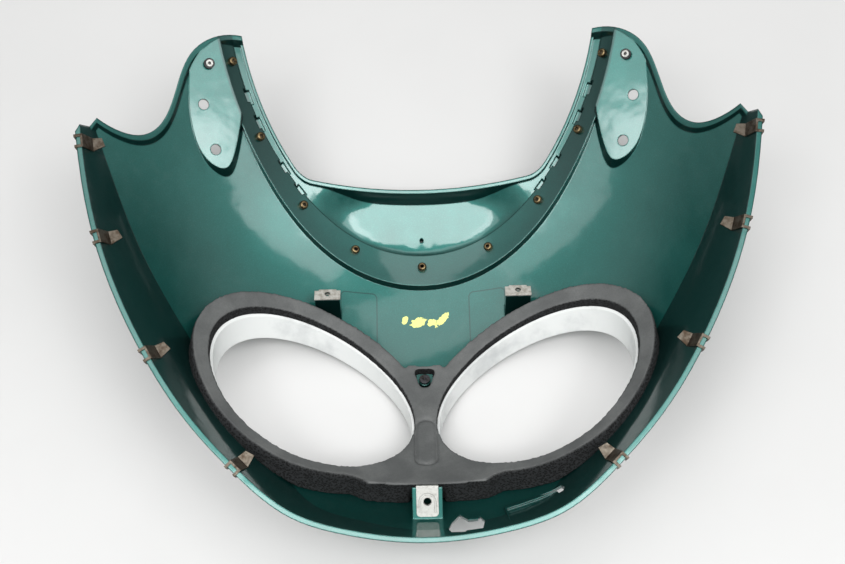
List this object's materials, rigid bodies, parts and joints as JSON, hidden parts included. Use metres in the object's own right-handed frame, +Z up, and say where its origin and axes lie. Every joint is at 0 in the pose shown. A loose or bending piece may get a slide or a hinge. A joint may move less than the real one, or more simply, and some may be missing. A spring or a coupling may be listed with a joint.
{
  "type": "motorcycle front fairing",
  "caption": "Painted nose fairing of a motorcycle with headlight openings, foam gasket, screen seat with threaded inserts, mirror pads and spring clips along its rim",
  "frame": {"origin": "middle of the bounding box on the floor, with the fairing lying on its outer face", "axes": "+X across the fairing to the right, +Y from the chin towards the screen, +Z up towards the inside"},
  "size_m": [0.5398, 0.4313, 0.1744],
  "materials": {
    "green_paint": "metallic gloss",
    "foam": "closed-cell foam with a grey skin",
    "pale_trim": "satin",
    "brass": "aged",
    "zinc_steel": "zinc plated",
    "dark_steel": "black",
    "spring_steel": "aged",
    "black_rubber": "matt"
  },
  "bodies": {
    "root": {"fairing_shell": "green_paint", "headlight_gasket": "foam", "screen_inserts": "brass", "chin_spring_nut": "zinc_steel", "nose_screw": "dark_steel", "headlight_trim_right": "pale_trim", "mirror_grommet_right": "black_rubber", "mirror_sleeve_right": "zinc_steel", "bracket_spring_nut_right": "zinc_steel", "rim_clip_chin_right": "spring_steel", "rim_clip_lower_right": "spring_steel", "rim_clip_middle_right": "spring_steel", "rim_clip_corner_right": "spring_steel", "headlight_trim_left": "pale_trim", "mirror_grommet_left": "black_rubber", "mirror_sleeve_left": "zinc_steel", "bracket_spring_nut_left": "zinc_steel", "rim_clip_chin_left": "spring_steel", "rim_clip_lower_left": "spring_steel", "rim_clip_middle_left": "spring_steel", "rim_clip_corner_left": "spring_steel"}
  },
  "joints": []
}
